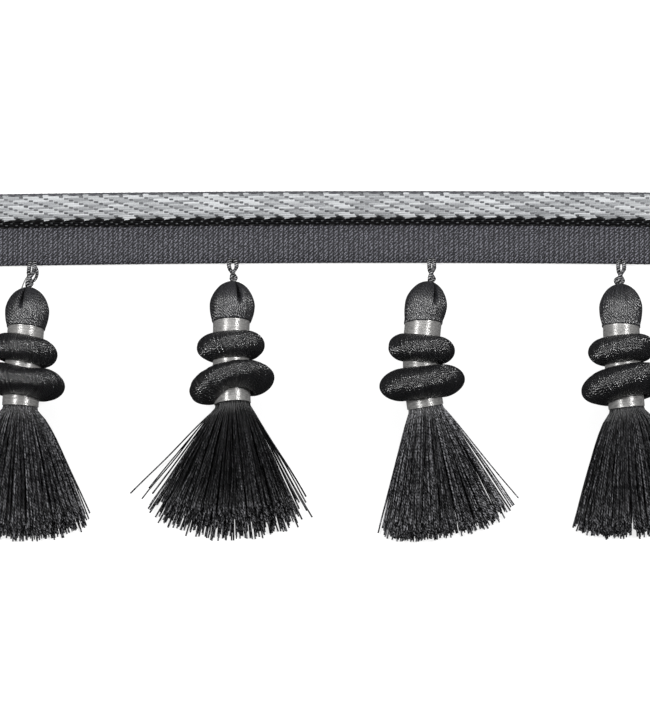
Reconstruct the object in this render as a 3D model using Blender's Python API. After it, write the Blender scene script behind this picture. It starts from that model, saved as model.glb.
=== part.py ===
"""Tassel fringe trim: a woven tape with four double-ring tassels, lying on its back.

X runs along the tape, +Y points from the tassels to the tape, and +Z is up, away from the
surface that the trim lies on. The origin is in the middle of the tape's flat back face.
Sizes and tables are in millimetres and degrees; add_piece() turns millimetres to metres.
"""
import math

import bpy
import numpy as np
from mathutils.geometry import delaunay_2d_cdt

MM = 0.001
SHARP_ANGLE = 50.0

# Tape: a flat woven band, thicker where the silver braid and the black row are woven in
TAPE_LENGTH = 236.0
TAPE_WIDTH = 21.5
TAPE_STATIONS = 24
TAPE_BOW = 1.0
TAPE_BOW_CENTRE = 18.0
TAPE_TOP_COLUMNS = ("from_top_edge", "thickness")
TAPE_TOP = (
    (0.0, 1.0),
    (0.9, 1.2),
    (1.4, 1.7),
    (7.4, 1.7),
    (7.9, 1.5),
    (10.3, 1.5),
    (10.8, 1.2),
    (20.9, 1.2),
    (21.5, 0.9),
)
TAPE_BACK_INSET = 0.25
TAPE_EDGE_HEIGHT = 0.25

# Tassels, left to right. Seen from above: the places of the axis, the turns of the rings in
# the surface's plane (right end towards the tape is positive), and how far the skirt fans
# out. Seen from the side: the climb of the axis, steeper at the head, and of each ring's hole.
TASSEL_COLUMNS = (
    "hang_x", "top_x", "top_y", "head_radius", "parting", "spiral_turn",
    "upper_x", "upper_y", "upper_turn", "upper_climb",
    "lower_x", "lower_y", "lower_turn", "lower_climb",
    "root_x", "root_y", "head_slope", "root_slope",
    "fan_left", "fan_right", "stray_left", "stray_right", "skirt_length",
)
TASSELS = (
    (-88.8, -89.7, -18.4, 6.6, 112.0, 0.0,
     -91.3, -37.1, -11.5, 8.0,
     -91.3, -46.4, -8.5, 6.0,
     -92.4, -54.8, 14.0, 4.0,
     -26.0, 22.0, -28.0, 29.0, 39.2),
    (-28.8, -28.4, -16.6, 6.75, 66.0, 70.0,
     -29.3, -35.9, 3.2, 8.5,
     -28.8, -47.0, 12.0, 13.5,
     -28.7, -54.1, 15.0, 12.0,
     -28.0, 24.0, -43.0, 34.0, 39.3),
    (30.9, 30.7, -16.8, 6.3, 55.0, 225.0,
     28.1, -36.6, -5.0, 3.0,
     27.5, -46.7, 6.0, 2.0,
     29.4, -55.0, 15.0, -1.0,
     -9.0, 34.0, -12.0, 43.0, 38.4),
    (87.8, 87.6, -17.4, 6.45, 74.0, 310.0,
     87.7, -36.9, 6.5, 6.0,
     88.7, -47.1, 11.5, 10.5,
     89.2, -55.3, 15.0, 3.0,
     -13.0, 28.0, -16.0, 34.0, 37.7),
)

# Tassel axis: the lower ring lies on the surface, and the head hangs low beside it
FLAT_SPOT = 0.3
AXIS_DEGREE = 2
AXIS_STATIONS = 41
AXIS_SPAN = 0.5
HEAD_MIDDLE = 7.2
SIDES = 20

# Yarn head and stem: half width over head radius at each distance from the head's top
HEAD_COLUMNS = ("from_top", "share_of_head_radius")
HEAD = (
    (0.0, 0.20),
    (0.5, 0.38),
    (1.4, 0.58),
    (2.8, 0.76),
    (4.5, 0.90),
    (6.5, 0.99),
    (8.3, 0.99),
    (10.1, 0.95),
    (11.5, 0.87),
)
STEM_RADIUS = 4.2
STEM_STEP = 0.1
ROOT_RADIUS = 5.15
PARTING_DEPTH = 0.9
PARTING_WIDTH = 7.0
PARTING_FROM = 1.0
PARTING_TO = 7.0

# Silver binding: a wound sleeve over the stem
BINDING_FROM = 12.1
BINDING_TO_ROOT = 1.1
BINDING_END_GAP = 0.35
BINDING_INNER = 4.6
BINDING_OUTER = 5.3
BINDING_STATIONS = 5
BINDING_SIDES = 16

# Wound rings: nearly half an ellipse outside the core radius, with a keener edge than one,
# and a bore that flares to both ends
RING_SIDES = 22
RING_OUTER_POINTS = 7
RING_KEENNESS = 1.2
RING_BORE = 5.8
RING_BORE_FLARE = 0.6
RING_BORE_HALF = 0.98
RING_BORE_STEPS = (1.0, 0.45, -0.45, -1.0)
RING_COLUMNS = ("name", "outer_radius", "core_radius", "half_height")
RINGS = (
    ("upper", 10.0, 5.7, 4.1),
    ("lower", 12.75, 6.3, 4.85),
)

# Skirt: strands in a sunflower pattern on the root disc, fanned out flat on the surface
STRANDS = 50
STRAND_DISC = 4.6
STRAND_COLUMNS = ("share_of_length", "half_width", "height")
STRAND = (
    (0.0, 0.31, 0.54),
    (0.14, 0.45, 0.55),
    (0.36, 0.62, 0.55),
    (0.66, 0.7, 0.55),
    (1.0, 0.6, 0.5),
)
SKIRT_TIP_HEIGHT = 8.0
FLOOR_SHARE = 0.04
LAND_FIRST = 0.62
LAND_LAST = 1.0
LENGTH_SPREAD = 0.045
SEED = 7
GOLDEN_ANGLE = math.pi * (3.0 - math.sqrt(5.0))
STRAY_POWER = 8
SKIRT_BULGE = 1.8
BULGE_POWER = 0.6

# Hanger: a two-ply cord with an eye at the tape's edge, twisted down to the head
HANGER_STATIONS = 17
HANGER_SIDES = 8
HANGER_START_Y = -9.3
HANGER_EDGE_Y = -11.1
HANGER_LIFT = 2.0
HANGER_GAP = 0.35
HANGER_PLY = 0.62
HANGER_WAIST = 0.72
HANGER_ENTRY = 1.5
HANGER_EYE_SPREAD = 1.15
HANGER_SHAFT_SPREAD = 0.5
HANGER_EYE_AT = 0.3
HANGER_EYE_LENGTH = 0.2
HANGER_TURNS = 1.0


def named_rows(columns, rows):
    """Turn a table into dictionaries, one for each row."""
    return [dict(zip(columns, row)) for row in rows]


def material(name, colour, roughness, metallic):
    """Make a plain material with a colour, a roughness and a metallic value."""
    result = bpy.data.materials.new(name)
    result.use_nodes = True
    shader = result.node_tree.nodes["Principled BSDF"]
    shader.inputs["Base Color"].default_value = (*colour, 1.0)
    shader.inputs["Roughness"].default_value = roughness
    shader.inputs["Metallic"].default_value = metallic
    return result


def add_piece(name, points, faces, finish):
    """Add one closed mesh, given in millimetres, as an object of its own."""
    mesh = bpy.data.meshes.new(name)
    mesh.from_pydata((np.asarray(points) * MM).tolist(), [], faces)
    mesh.validate()
    mesh.shade_smooth()
    mesh.set_sharp_from_angle(angle=math.radians(SHARP_ANGLE))
    mesh.materials.append(finish)
    piece = bpy.data.objects.new(name, mesh)
    bpy.context.scene.collection.objects.link(piece)
    return piece


def grid_faces(rows, columns, closed_rows=False, first=0):
    """List the quads between rows of points; every row closes on itself."""
    faces = []
    for row in range(rows if closed_rows else rows - 1):
        here = first + row * columns
        above = first + (row + 1) % rows * columns
        for column in range(columns):
            following = (column + 1) % columns
            faces.append((here + column, here + following, above + following, above + column))
    return faces


def fan(first, count, backwards=False):
    """List one polygon that closes a row of points."""
    ring = list(range(first, first + count))
    return tuple(reversed(ring)) if backwards else tuple(ring)


def tape_bow(x):
    """Shift the tape towards the tassels at its ends, as it lies a little bowed."""
    return -TAPE_BOW * ((x - TAPE_BOW_CENTRE) / (0.5 * TAPE_LENGTH)) ** 2


def tape_section():
    """Give the tape's outline across its width: the back first, then the front."""
    half = 0.5 * TAPE_WIDTH
    outline = [(half - TAPE_BACK_INSET, 0.0), (half, TAPE_EDGE_HEIGHT)]
    outline += [(half - from_top, thickness) for from_top, thickness in TAPE_TOP]
    outline += [(-half, TAPE_EDGE_HEIGHT), (TAPE_BACK_INSET - half, 0.0)]
    return np.array(outline)


def add_tape(finish):
    """Carry the tape's section along X."""
    section = tape_section()
    along = np.linspace(-0.5 * TAPE_LENGTH, 0.5 * TAPE_LENGTH, TAPE_STATIONS)
    points = np.zeros((TAPE_STATIONS, len(section), 3))
    points[:, :, 0] = along[:, None]
    points[:, :, 1] = section[None, :, 0] + tape_bow(along)[:, None]
    points[:, :, 2] = section[None, :, 1]
    count = len(section)
    faces = grid_faces(TAPE_STATIONS, count)
    faces.append(fan(0, count, backwards=True))
    faces.append(fan((TAPE_STATIONS - 1) * count, count))
    add_piece("tape", points.reshape(-1, 3), faces, finish)


class Axis:
    """A tassel's bent middle line, from the head's top to the skirt's root."""

    def __init__(self, tassel):
        lower = named_rows(RING_COLUMNS, RINGS)[1]
        seen_y = np.array([tassel[key] for key in ("top_y", "upper_y", "lower_y", "root_y")])
        seen_x = np.array([tassel[key] for key in ("top_x", "upper_x", "lower_x", "root_x")])
        y = np.linspace(tassel["top_y"], tassel["root_y"], AXIS_STATIONS)
        x = np.polyval(np.polyfit(seen_y, seen_x, AXIS_DEGREE), y)
        head_y = tassel["top_y"] - HEAD_MIDDLE
        head_slope = math.tan(math.radians(tassel["head_slope"]))
        root_slope = math.tan(math.radians(tassel["root_slope"]))
        bend = (root_slope - head_slope) / (head_y - tassel["root_y"])
        ring_slope = head_slope + bend * (head_y - tassel["lower_y"])
        past = tassel["lower_y"] - y
        height = ring_height(lower, math.radians(tassel["lower_climb"]))
        z = height + ring_slope * past + 0.5 * bend * past ** 2
        self.points = np.stack([x, y, z], axis=1)
        steps = np.linalg.norm(np.diff(self.points, axis=0), axis=1)
        self.distance = np.concatenate([[0.0], np.cumsum(steps)])
        self.length = self.distance[-1]

    def at(self, distance):
        """Give the point and the sideways, upward and forward directions at a distance."""
        point, behind, ahead = (
            np.array([np.interp(d, self.distance, self.points[:, k]) for k in range(3)])
            for d in (distance, max(distance - AXIS_SPAN, 0.0),
                      min(distance + AXIS_SPAN, self.length))
        )
        forward = (ahead - behind) / np.linalg.norm(ahead - behind)
        side = np.cross((0.0, 0.0, 1.0), forward)
        side /= np.linalg.norm(side)
        return point, side, np.cross(forward, side), forward

    def distance_at_y(self, y):
        """Give the distance along the axis at which it passes a value of Y."""
        return np.interp(-y, -self.points[:, 1], self.distance)

    def circle(self, distance, radii, angles):
        """Give a row of points round the axis at a distance."""
        point, side, up, forward = self.at(distance)
        out = np.cos(angles)[:, None] * side + np.sin(angles)[:, None] * up
        return point + np.asarray(radii).reshape(-1, 1) * out


def ring_height(ring, climb):
    """Give the height of a tilted ring's centre when its rim dips by the flat spot."""
    reach = ring["outer_radius"] - ring["core_radius"]
    rim = math.hypot(reach * math.cos(climb), ring["half_height"] * math.sin(climb))
    return ring["core_radius"] * math.cos(climb) + rim - FLAT_SPOT


def ring_section(ring):
    """Give a ring's outline as radius and height along the axis: outside, then the bore."""
    half = ring["half_height"]
    bulge = np.linspace(-0.5 * math.pi, 0.5 * math.pi, RING_OUTER_POINTS + 2)[1:-1]
    outside = np.stack([
        ring["core_radius"]
        + (ring["outer_radius"] - ring["core_radius"]) * np.cos(bulge) ** RING_KEENNESS,
        half * np.sin(bulge),
    ], axis=1)
    steps = np.array(RING_BORE_STEPS)
    bore = np.stack([
        RING_BORE + RING_BORE_FLARE * steps ** 2,
        RING_BORE_HALF * half * steps,
    ], axis=1)
    return np.concatenate([outside, bore])


def add_ring(name, ring, axis, tassel, finish):
    """Turn a ring's section round its own centre line, which tilts a little on the neck."""
    centre = axis.at(axis.distance_at_y(tassel[ring["name"] + "_y"]))[0]
    turn = math.radians(tassel[ring["name"] + "_turn"])
    climb = math.radians(tassel[ring["name"] + "_climb"])
    side = np.array([math.cos(turn), math.sin(turn), 0.0])
    level = np.cross(side, (0.0, 0.0, 1.0))
    forward = math.cos(climb) * level + math.sin(climb) * np.array([0.0, 0.0, 1.0])
    up = np.cross(forward, side)
    section = ring_section(ring)
    angles = (np.arange(RING_SIDES) + 0.5) * 2.0 * math.pi / RING_SIDES
    out = np.cos(angles)[:, None] * side + np.sin(angles)[:, None] * up
    points = centre + section[None, :, :1] * out[:, None, :] + section[None, :, 1:] * forward
    points[..., 2] = np.maximum(points[..., 2], 0.0)
    faces = grid_faces(RING_SIDES, len(section), closed_rows=True)
    faces = [tuple(reversed(face)) for face in faces]
    add_piece(name, points.reshape(-1, 3), faces, finish)


def binding_stations(axis):
    """Give the distances along the axis at which the sleeve and the stem inside it bend."""
    return np.linspace(BINDING_FROM, axis.length - BINDING_TO_ROOT, BINDING_STATIONS)


def add_binding(name, axis, finish):
    """Carry a sleeve's wall along the axis, out along its outside and back along its bore."""
    stations = binding_stations(axis)
    angles = np.arange(BINDING_SIDES) * 2.0 * math.pi / BINDING_SIDES
    rows = [axis.circle(station, BINDING_OUTER, angles) for station in stations]
    rows += [axis.circle(station, BINDING_INNER, angles) for station in stations[::-1]]
    faces = grid_faces(len(rows), BINDING_SIDES, closed_rows=True)
    add_piece(name, np.concatenate(rows), faces, finish)


def head_rows(axis, tassel):
    """Give the rows of points of the yarn's skin, from the head's top to the skirt's root."""
    parting = math.radians(tassel["parting"])
    angles = parting + np.arange(SIDES) * 2.0 * math.pi / SIDES
    beside = math.radians(PARTING_WIDTH)
    angles = np.insert(angles, 1, parting + beside)
    angles = np.append(angles, parting + 2.0 * math.pi - beside)
    rows = []
    for from_top, share in HEAD:
        radii = np.full(len(angles), share * tassel["head_radius"])
        if PARTING_FROM < from_top < PARTING_TO:
            radii[0] -= PARTING_DEPTH
        rows.append(axis.circle(from_top, radii, angles))
    stations = binding_stations(axis)
    stem = [stations[0] - BINDING_END_GAP, *stations, stations[-1] + BINDING_END_GAP]
    rows += [axis.circle(station, STEM_RADIUS, angles) for station in stem]
    rows.append(axis.circle(stem[-1] + STEM_STEP, ROOT_RADIUS, angles))
    rows.append(axis.circle(axis.length, ROOT_RADIUS, angles))
    rows = np.array(rows)
    rows[..., 2] = np.maximum(rows[..., 2], 0.0)
    return rows, angles


def strand_places(start_angle):
    """Give each strand's place on the unit disc, in a sunflower spiral."""
    number = np.arange(STRANDS) + 0.5
    radius = np.sqrt(number / STRANDS)
    angle = number * GOLDEN_ANGLE + start_angle
    return np.stack([radius * np.cos(angle), radius * np.sin(angle)], axis=1)


def strand_triangle(half_width, height):
    """Give a strand's section: a flat triangle with its point up."""
    return np.array([(-half_width, 0.0), (half_width, 0.0), (0.0, height)])


def root_disc(axis, angles, places):
    """Divide the root disc into triangles, with one left out for each strand."""
    rim = np.stack([np.cos(angles), np.sin(angles)], axis=1) * ROOT_RADIUS
    first = named_rows(STRAND_COLUMNS, STRAND)[0]
    section = strand_triangle(first["half_width"], first["height"])
    section[:, 1] -= 0.5 * first["height"]
    corners = [tuple(point) for point in rim]
    loops = [tuple(range(len(rim)))]
    for place in places:
        start = len(corners)
        corners += [tuple(place * STRAND_DISC + corner) for corner in section]
        loops.append((start, start + 1, start + 2))
    flat, _, triangles, _, _, sources = delaunay_2d_cdt(corners, [], loops, 1, 1e-6)
    disc = [tuple(tri) for tri, source in zip(triangles, sources) if len(source) == 1]
    point, side, up, _ = axis.at(axis.length)
    flat = np.array([tuple(corner) for corner in flat])
    return point + flat[:, :1] * side + flat[:, 1:] * up, disc, loops[1:]


def strand_rows(place, root, tassel, length):
    """Give the rows of one strand past its root: straight out, falling to the surface."""
    across, up_share = place
    chord = math.sqrt(max(1.0 - across * across, 1e-6))
    level = up_share / chord
    rest = max((level + 1.0) / 2.0 - FLOOR_SHARE, 0.0) / (1.0 - FLOOR_SHARE)
    tip_z = rest * SKIRT_TIP_HEIGHT * chord
    side_name = "left" if across < 0.0 else "right"
    fan_angle = abs(tassel["fan_" + side_name])
    stray_angle = abs(tassel["stray_" + side_name])
    heading = across * fan_angle
    heading += math.copysign(abs(across) ** STRAY_POWER, across) * (stray_angle - fan_angle)
    heading = math.radians(heading)
    flat_length = math.sqrt(length ** 2 - (root[2] - tip_z) ** 2)
    lands = LAND_FIRST + (LAND_LAST - LAND_FIRST) * (level + 1.0) / 2.0
    lands = max(min(lands, LAND_LAST), LAND_FIRST)
    direction = np.array([math.sin(heading), -math.cos(heading), 0.0])
    sideways = np.array([math.cos(heading), math.sin(heading), 0.0])
    rows = []
    for column in named_rows(STRAND_COLUMNS, STRAND)[1:]:
        share = column["share_of_length"]
        fall = min(share / lands, 1.0)
        bulge = SKIRT_BULGE * across * math.sin(math.pi * share ** BULGE_POWER)
        centre = root + direction * flat_length * share + sideways * bulge
        centre[2] = tip_z + (root[2] - tip_z) * (1.0 - fall) ** 2 * (1.0 + 2.0 * fall)
        section = strand_triangle(column["half_width"], column["height"])
        rows.append(centre + section[:, :1] * sideways + section[:, 1:] * (0.0, 0.0, 1.0))
    return np.concatenate(rows)


def add_yarn(name, axis, tassel, random, finish):
    """Join the head, the stem and all strands of the skirt in one closed skin."""
    rows, angles = head_rows(axis, tassel)
    count = len(angles)
    faces = grid_faces(len(rows), count)
    faces.append(fan(0, count, backwards=True))
    places = strand_places(math.radians(tassel["spiral_turn"]))
    lengths = 1.0 + random.uniform(-LENGTH_SPREAD, LENGTH_SPREAD, STRANDS)
    lengths *= tassel["skirt_length"]
    disc_points, disc, roots = root_disc(axis, angles, places)
    rim_start = (len(rows) - 1) * count
    points = [rows.reshape(-1, 3), disc_points[count:]]
    total = rim_start + len(disc_points)
    faces += [tuple(rim_start + corner for corner in triangle) for triangle in disc]
    for place, root_loop, length in zip(places, roots, lengths):
        root = disc_points[list(root_loop)].mean(axis=0)
        strand = strand_rows(place, root, tassel, length)
        steps = len(strand) // 3
        for corner in range(3):
            following = (corner + 1) % 3
            faces.append((rim_start + root_loop[corner], rim_start + root_loop[following],
                          total + following, total + corner))
        faces += grid_faces(steps, 3, first=total)
        faces.append(fan(total + len(strand) - 3, 3))
        points.append(strand)
        total += len(strand)
    add_piece(name, np.concatenate(points), faces, finish)


def add_hanger(name, axis, tassel, finish):
    """Carry a two-lobed section, open at the eye and twisted below it, from tape to head."""
    head_top, _, _, forward = axis.at(0.0)
    end = head_top - forward * HANGER_GAP
    bow = tape_bow(tassel["hang_x"])
    route = np.array([
        (tassel["hang_x"], HANGER_START_Y + bow, HANGER_LIFT),
        (tassel["hang_x"], HANGER_EDGE_Y + bow, HANGER_LIFT),
        end - forward * HANGER_ENTRY,
        end,
    ])
    share = np.linspace(0.0, 1.0, HANGER_STATIONS)
    weights = np.stack([(1 - share) ** 3, 3 * share * (1 - share) ** 2,
                        3 * share ** 2 * (1 - share), share ** 3], axis=1)
    middle = weights @ route
    eye = np.exp(-((share - HANGER_EYE_AT) / HANGER_EYE_LENGTH) ** 2)
    spread = HANGER_SHAFT_SPREAD + (HANGER_EYE_SPREAD - HANGER_SHAFT_SPREAD) * eye
    below = np.clip((share - HANGER_EYE_AT - HANGER_EYE_LENGTH)
                    / (1.0 - HANGER_EYE_AT - HANGER_EYE_LENGTH), 0.0, 1.0)
    twist = below * HANGER_TURNS * 2.0 * math.pi
    around = np.arange(HANGER_SIDES) * 2.0 * math.pi / HANGER_SIDES
    rows = []
    for k in range(HANGER_STATIONS):
        ahead = middle[min(k + 1, HANGER_STATIONS - 1)] - middle[max(k - 1, 0)]
        ahead /= np.linalg.norm(ahead)
        side = np.cross((0.0, 0.0, 1.0), ahead)
        side /= np.linalg.norm(side)
        up = np.cross(ahead, side)
        wide = (spread[k] + HANGER_PLY) * np.cos(around)
        waist = HANGER_WAIST + (1.0 - HANGER_WAIST) * np.abs(np.cos(around))
        thick = HANGER_PLY * waist * np.sin(around)
        across = wide * math.cos(twist[k]) - thick * math.sin(twist[k])
        upward = wide * math.sin(twist[k]) + thick * math.cos(twist[k])
        rows.append(middle[k] + across[:, None] * side + upward[:, None] * up)
    faces = grid_faces(HANGER_STATIONS, HANGER_SIDES)
    faces.append(fan(0, HANGER_SIDES, backwards=True))
    faces.append(fan((HANGER_STATIONS - 1) * HANGER_SIDES, HANGER_SIDES))
    add_piece(name, np.concatenate(rows), faces, finish)


def main():
    """Clear the scene and build the trim."""
    for existing in list(bpy.data.objects):
        bpy.data.objects.remove(existing)
    tape_cloth = material("woven_tape", (0.09, 0.09, 0.11), 0.8, 0.0)
    skirt_yarn = material("twisted_yarn", (0.035, 0.035, 0.04), 0.75, 0.0)
    ring_thread = material("wound_thread", (0.06, 0.06, 0.065), 0.6, 0.0)
    silver_thread = material("silver_thread", (0.55, 0.54, 0.52), 0.35, 0.6)
    hanger_cord = material("twisted_cord", (0.08, 0.08, 0.09), 0.6, 0.0)
    random = np.random.default_rng(SEED)
    add_tape(tape_cloth)
    for number, tassel in enumerate(named_rows(TASSEL_COLUMNS, TASSELS), start=1):
        prefix = f"tassel_{number}_"
        axis = Axis(tassel)
        add_hanger(prefix + "hanger", axis, tassel, hanger_cord)
        add_yarn(prefix + "yarn", axis, tassel, random, skirt_yarn)
        add_binding(prefix + "binding", axis, silver_thread)
        for ring in named_rows(RING_COLUMNS, RINGS):
            add_ring(prefix + "ring_" + ring["name"], ring, axis, tassel, ring_thread)


main()
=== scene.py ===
import math

import bpy
import numpy as np
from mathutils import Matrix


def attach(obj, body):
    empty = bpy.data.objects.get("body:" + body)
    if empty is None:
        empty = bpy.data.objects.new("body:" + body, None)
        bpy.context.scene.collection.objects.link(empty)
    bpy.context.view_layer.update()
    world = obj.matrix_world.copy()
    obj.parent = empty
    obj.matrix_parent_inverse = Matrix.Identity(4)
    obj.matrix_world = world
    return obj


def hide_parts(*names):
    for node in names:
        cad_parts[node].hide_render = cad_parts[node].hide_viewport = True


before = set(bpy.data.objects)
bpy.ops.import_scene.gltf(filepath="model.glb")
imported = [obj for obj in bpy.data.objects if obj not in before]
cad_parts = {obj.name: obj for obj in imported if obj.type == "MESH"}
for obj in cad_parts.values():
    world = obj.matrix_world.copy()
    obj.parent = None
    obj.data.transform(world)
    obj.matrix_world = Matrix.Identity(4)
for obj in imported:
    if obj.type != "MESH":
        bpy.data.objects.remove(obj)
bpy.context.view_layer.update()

# A trim of four tassels on a woven tape, lying on its back on a pale table.
# X runs along the tape, +Y points from the tassels to the tape, and +Z is up.
# Sizes and tables are in millimetres and degrees; put_mesh() turns millimetres to metres.
MM = 0.001
SEED = 11
GOLDEN_ANGLE = math.pi * (3.0 - math.sqrt(5.0))
# A wave texture's diagonal bands repeat after this length
WAVE_UNIT = 2.0 * math.pi / 10.0

# Tape: its cut size, its bow on the table, and the height of its body below the floats
TAPE_LENGTH = 236.0
TAPE_WIDTH = 21.5
TAPE_BOW = 1.0
TAPE_BOW_CENTRE = 18.0
TAPE_STEP = 0.4
TAPE_COLUMNS = 52
TAPE_BODY = (
    (0.0, 0.95),
    (0.4, 1.15),
    (0.9, 1.3),
    (1.4, 1.5),
    (7.4, 1.5),
    (7.9, 1.35),
    (10.2, 1.3),
    (10.7, 1.2),
    (20.7, 1.2),
    (21.2, 1.1),
    (21.5, 0.85),
)

# Weave: one repeat along the tape, where a repeat starts, and the floats. Rows give a distance
# from the upper edge, then in shares of a repeat the phase, the pitch and a float's length.
REPEAT = 6.012
REPEAT_START = -98.55
SILVER_ROWS = 13
SILVER_FIRST_ROW = 1.24
SILVER_ROW_PITCH = 0.52
SILVER_GAP_PHASE = 0.05
SILVER_GAP = 0.04
BLACK_ROWS = (
    (8.3, 0.42, 0.5, 0.46),
    (8.85, 0.33, 0.5, 0.44),
    (9.42, 0.08, 0.5, 0.44),
    (9.95, 0.33, 0.5, 0.34),
)
DOT_ROWS = ((8.87, 0.08, 0.5), (9.44, 0.33, 0.5))

# Ground: the spacing and slope of its picks, and how far down each of its zones starts
PICK_PITCH = 1.15
PICK_SLOPE = 1.1
SILVER_GROUND_FROM = 0.645
BLACK_GROUND_FROM = 7.6325
GREY_GROUND_FROM = 10.148

# Tassels, left to right: places as the frame has them, then what the photograph shows of each
TASSEL_COLUMNS = (
    "hang_x", "top_x", "top_y", "head_radius", "parting", "spiral_turn",
    "upper_x", "upper_y", "upper_turn", "upper_climb",
    "lower_x", "lower_y", "lower_turn", "lower_climb",
    "root_x", "root_y", "head_slope", "root_slope",
    "fan_left", "fan_right", "stray_left", "stray_right", "skirt_length",
    "bulge", "cut_slant", "tone", "ring_thin", "ring_arch", "rim_drop", "rim_lean", "slit", "eye",
)
TASSELS = (
    (-88.8, -89.7, -18.4, 6.6, 112.0, 0.0,
     -91.3, -37.1, -11.5, 8.0,
     -91.3, -46.4, -8.5, 6.0,
     -92.4, -54.8, 14.0, 4.0,
     -27.0, 24.0, -29.0, 28.0, 39.4,
     1.2, 3.5, 0.75, 0.14, -0.22, 0.15, 0.2, 0.9, 0.75),
    (-28.8, -28.4, -16.6, 6.75, 70.0, 70.0,
     -29.3, -35.9, 3.2, 8.5,
     -28.8, -47.0, 12.0, 13.5,
     -28.7, -54.1, 15.0, 12.0,
     -34.0, 26.0, -40.0, 31.0, 39.5,
     0.2, 5.5, 0.32, 0.16, 1.4, 0.1, -0.2, 1.0, 1.15),
    (30.9, 30.7, -16.8, 6.3, 66.0, 225.0,
     28.1, -36.6, -5.0, 3.0,
     27.5, -46.7, 6.0, 2.0,
     29.4, -55.0, 15.0, -1.0,
     -10.5, 33.0, -15.0, 42.0, 39.4,
     0.3, 3.0, 1.0, 0.0, 0.0, 0.7, -0.75, 0.7, 0.72),
    (87.8, 87.6, -17.4, 6.45, 74.0, 310.0,
     87.7, -36.9, 6.5, 6.0,
     88.7, -47.1, 11.5, 10.5,
     89.2, -55.3, 15.0, 3.0,
     -15.5, 29.0, -18.0, 34.0, 38.2,
     1.3, 3.0, 0.6, 0.0, 0.0, 0.9, 0.3, 0.2, 0.88),
)

# Tassel axis: the lower ring lies on the table, and the head hangs low beside it
FLAT_SPOT = 0.3
AXIS_STATIONS = 41
AXIS_SPAN = 0.5
HEAD_MIDDLE = 7.2

# Head: half width over head radius at each distance from the top, and its laid yarns
HEAD = (
    (-0.25, 0.0),
    (0.0, 0.20),
    (0.5, 0.38),
    (1.4, 0.58),
    (2.8, 0.76),
    (4.5, 0.90),
    (6.5, 0.99),
    (8.3, 0.99),
    (10.1, 0.95),
    (11.5, 0.89),
    (12.3, 0.85),
    (12.65, 0.8),
    (12.75, 0.66),
)
HEAD_YARNS = 66
HEAD_ROWS = 44
HEAD_RIDGE = 0.22
PARTING_DEPTH = 3.6
PARTING_WIDTH = 6.5
PARTING_END = 8.0
RIM_FROM = 5.0
RIM_CLEARANCE = 0.2

# Neck binding: silver thread wound close over the yarn
BINDING_FROM = 12.1
BINDING_TO_ROOT = 1.1
BINDING_INNER = 4.65
BINDING_OUTER = 5.5
BINDING_PITCH = 0.3
BINDING_RIDGE = 0.09
BINDING_SIDES = 40

# Wound rings: thread laid over a core, crowded in the bore
RING_RIDGE = 0.34
RING_BORE = 5.8
RING_COLUMNS = ("name", "outer_radius", "core_radius", "half_height", "threads")
RINGS = (
    ("upper", 10.0, 5.7, 4.1, 92),
    ("lower", 12.75, 6.3, 4.85, 112),
)
RING_KEENNESS = 1.2
RING_SLANT = 20.0
RING_LUMPS = ((0.14, 2), (0.1, 5), (0.08, 9), (0.05, 17))

# Skirt: cut yarns
YARNS = 720
YARN_RADIUS = 0.21
YARN_STATIONS = 12
YARN_SIDES = 4
YARN_DISC = 5.25
SKIRT_TIP_HEIGHT = 8.0
FLOOR_SHARE = 0.04
LAND_FIRST = 0.62
BULGE_POWER = 0.6
CLUMPS = 26
CLUMP_PULL = 0.4
HEADING_SPREAD = 1.1
LOOSE_SHARE = 0.12
LOOSE_SPREAD = 3.0
LENGTH_SPREAD = (-0.035, 0.025)
ROOT_DEPTH = 2.4

# Hanger: two plies of black and silver cord with an eye at the tape's edge
HANGER_STATIONS = 120
HANGER_SIDES = 12
HANGER_START_Y = -9.3
HANGER_EDGE_Y = -11.1
HANGER_LIFT = 2.0
HANGER_GAP = 0.1
HANGER_PLY = 0.68
HANGER_RIDGE = 0.22
HANGER_LAY = 1.5
HANGER_ENTRY = 1.5
HANGER_SHAFT_SPREAD = 0.62
HANGER_EYE_AT = 0.3
HANGER_EYE_LENGTH = 0.2
HANGER_TURNS = 0.75

# Loose ends: a silver thread and a slack loop at the first hanger, a knot's end at the last.
# Each row has a name, a radius, a slot and the four points of a Bezier curve.
LOOSE_STATIONS = 28
LOOSE_SIDES = 8
LOOSE_ENDS = (
    ("tassel_1_stray_thread", 0.2, "silver_thread",
     ((-89.8, -14.2, 3.2), (-90.5, -15.2, 3.6), (-91.3, -16.2, 3.4), (-91.9, -18.4, 4.6))),
    ("tassel_1_hanger_side_loop", 0.48, "twisted_cord",
     ((-88.6, -11.6, 2.2), (-86.8, -12.2, 2.6), (-87.0, -15.6, 2.8), (-88.9, -16.4, 3.0))),
    ("tassel_4_hanger_side_loop", 0.42, "twisted_cord",
     ((87.8, -15.2, 3.2), (85.4, -15.0, 3.4), (85.2, -17.2, 4.2), (87.6, -17.4, 4.0))),
)

# Photograph: millimetres for a pixel, the middle of the picture and the camera's distance
PIXEL = 0.3
PICTURE_HEIGHT = 722
PICTURE_MIDDLE = (-1.05, -40.2)
CAMERA_DISTANCE = 4000.0
SENSOR = 36.0


def named_rows(columns, rows):
    """Turn a table into dictionaries, one for each row."""
    return [dict(zip(columns, row)) for row in rows]


def hex_to_linear(text):
    """Turn an sRGB hex colour into linear red, green and blue with full alpha."""
    channels = np.array([int(text[k:k + 2], 16) for k in (1, 3, 5)]) / 255.0
    dark = channels / 12.92
    bright = ((channels + 0.055) / 1.055) ** 2.4
    return (*np.where(channels <= 0.04045, dark, bright).tolist(), 1.0)


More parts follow.
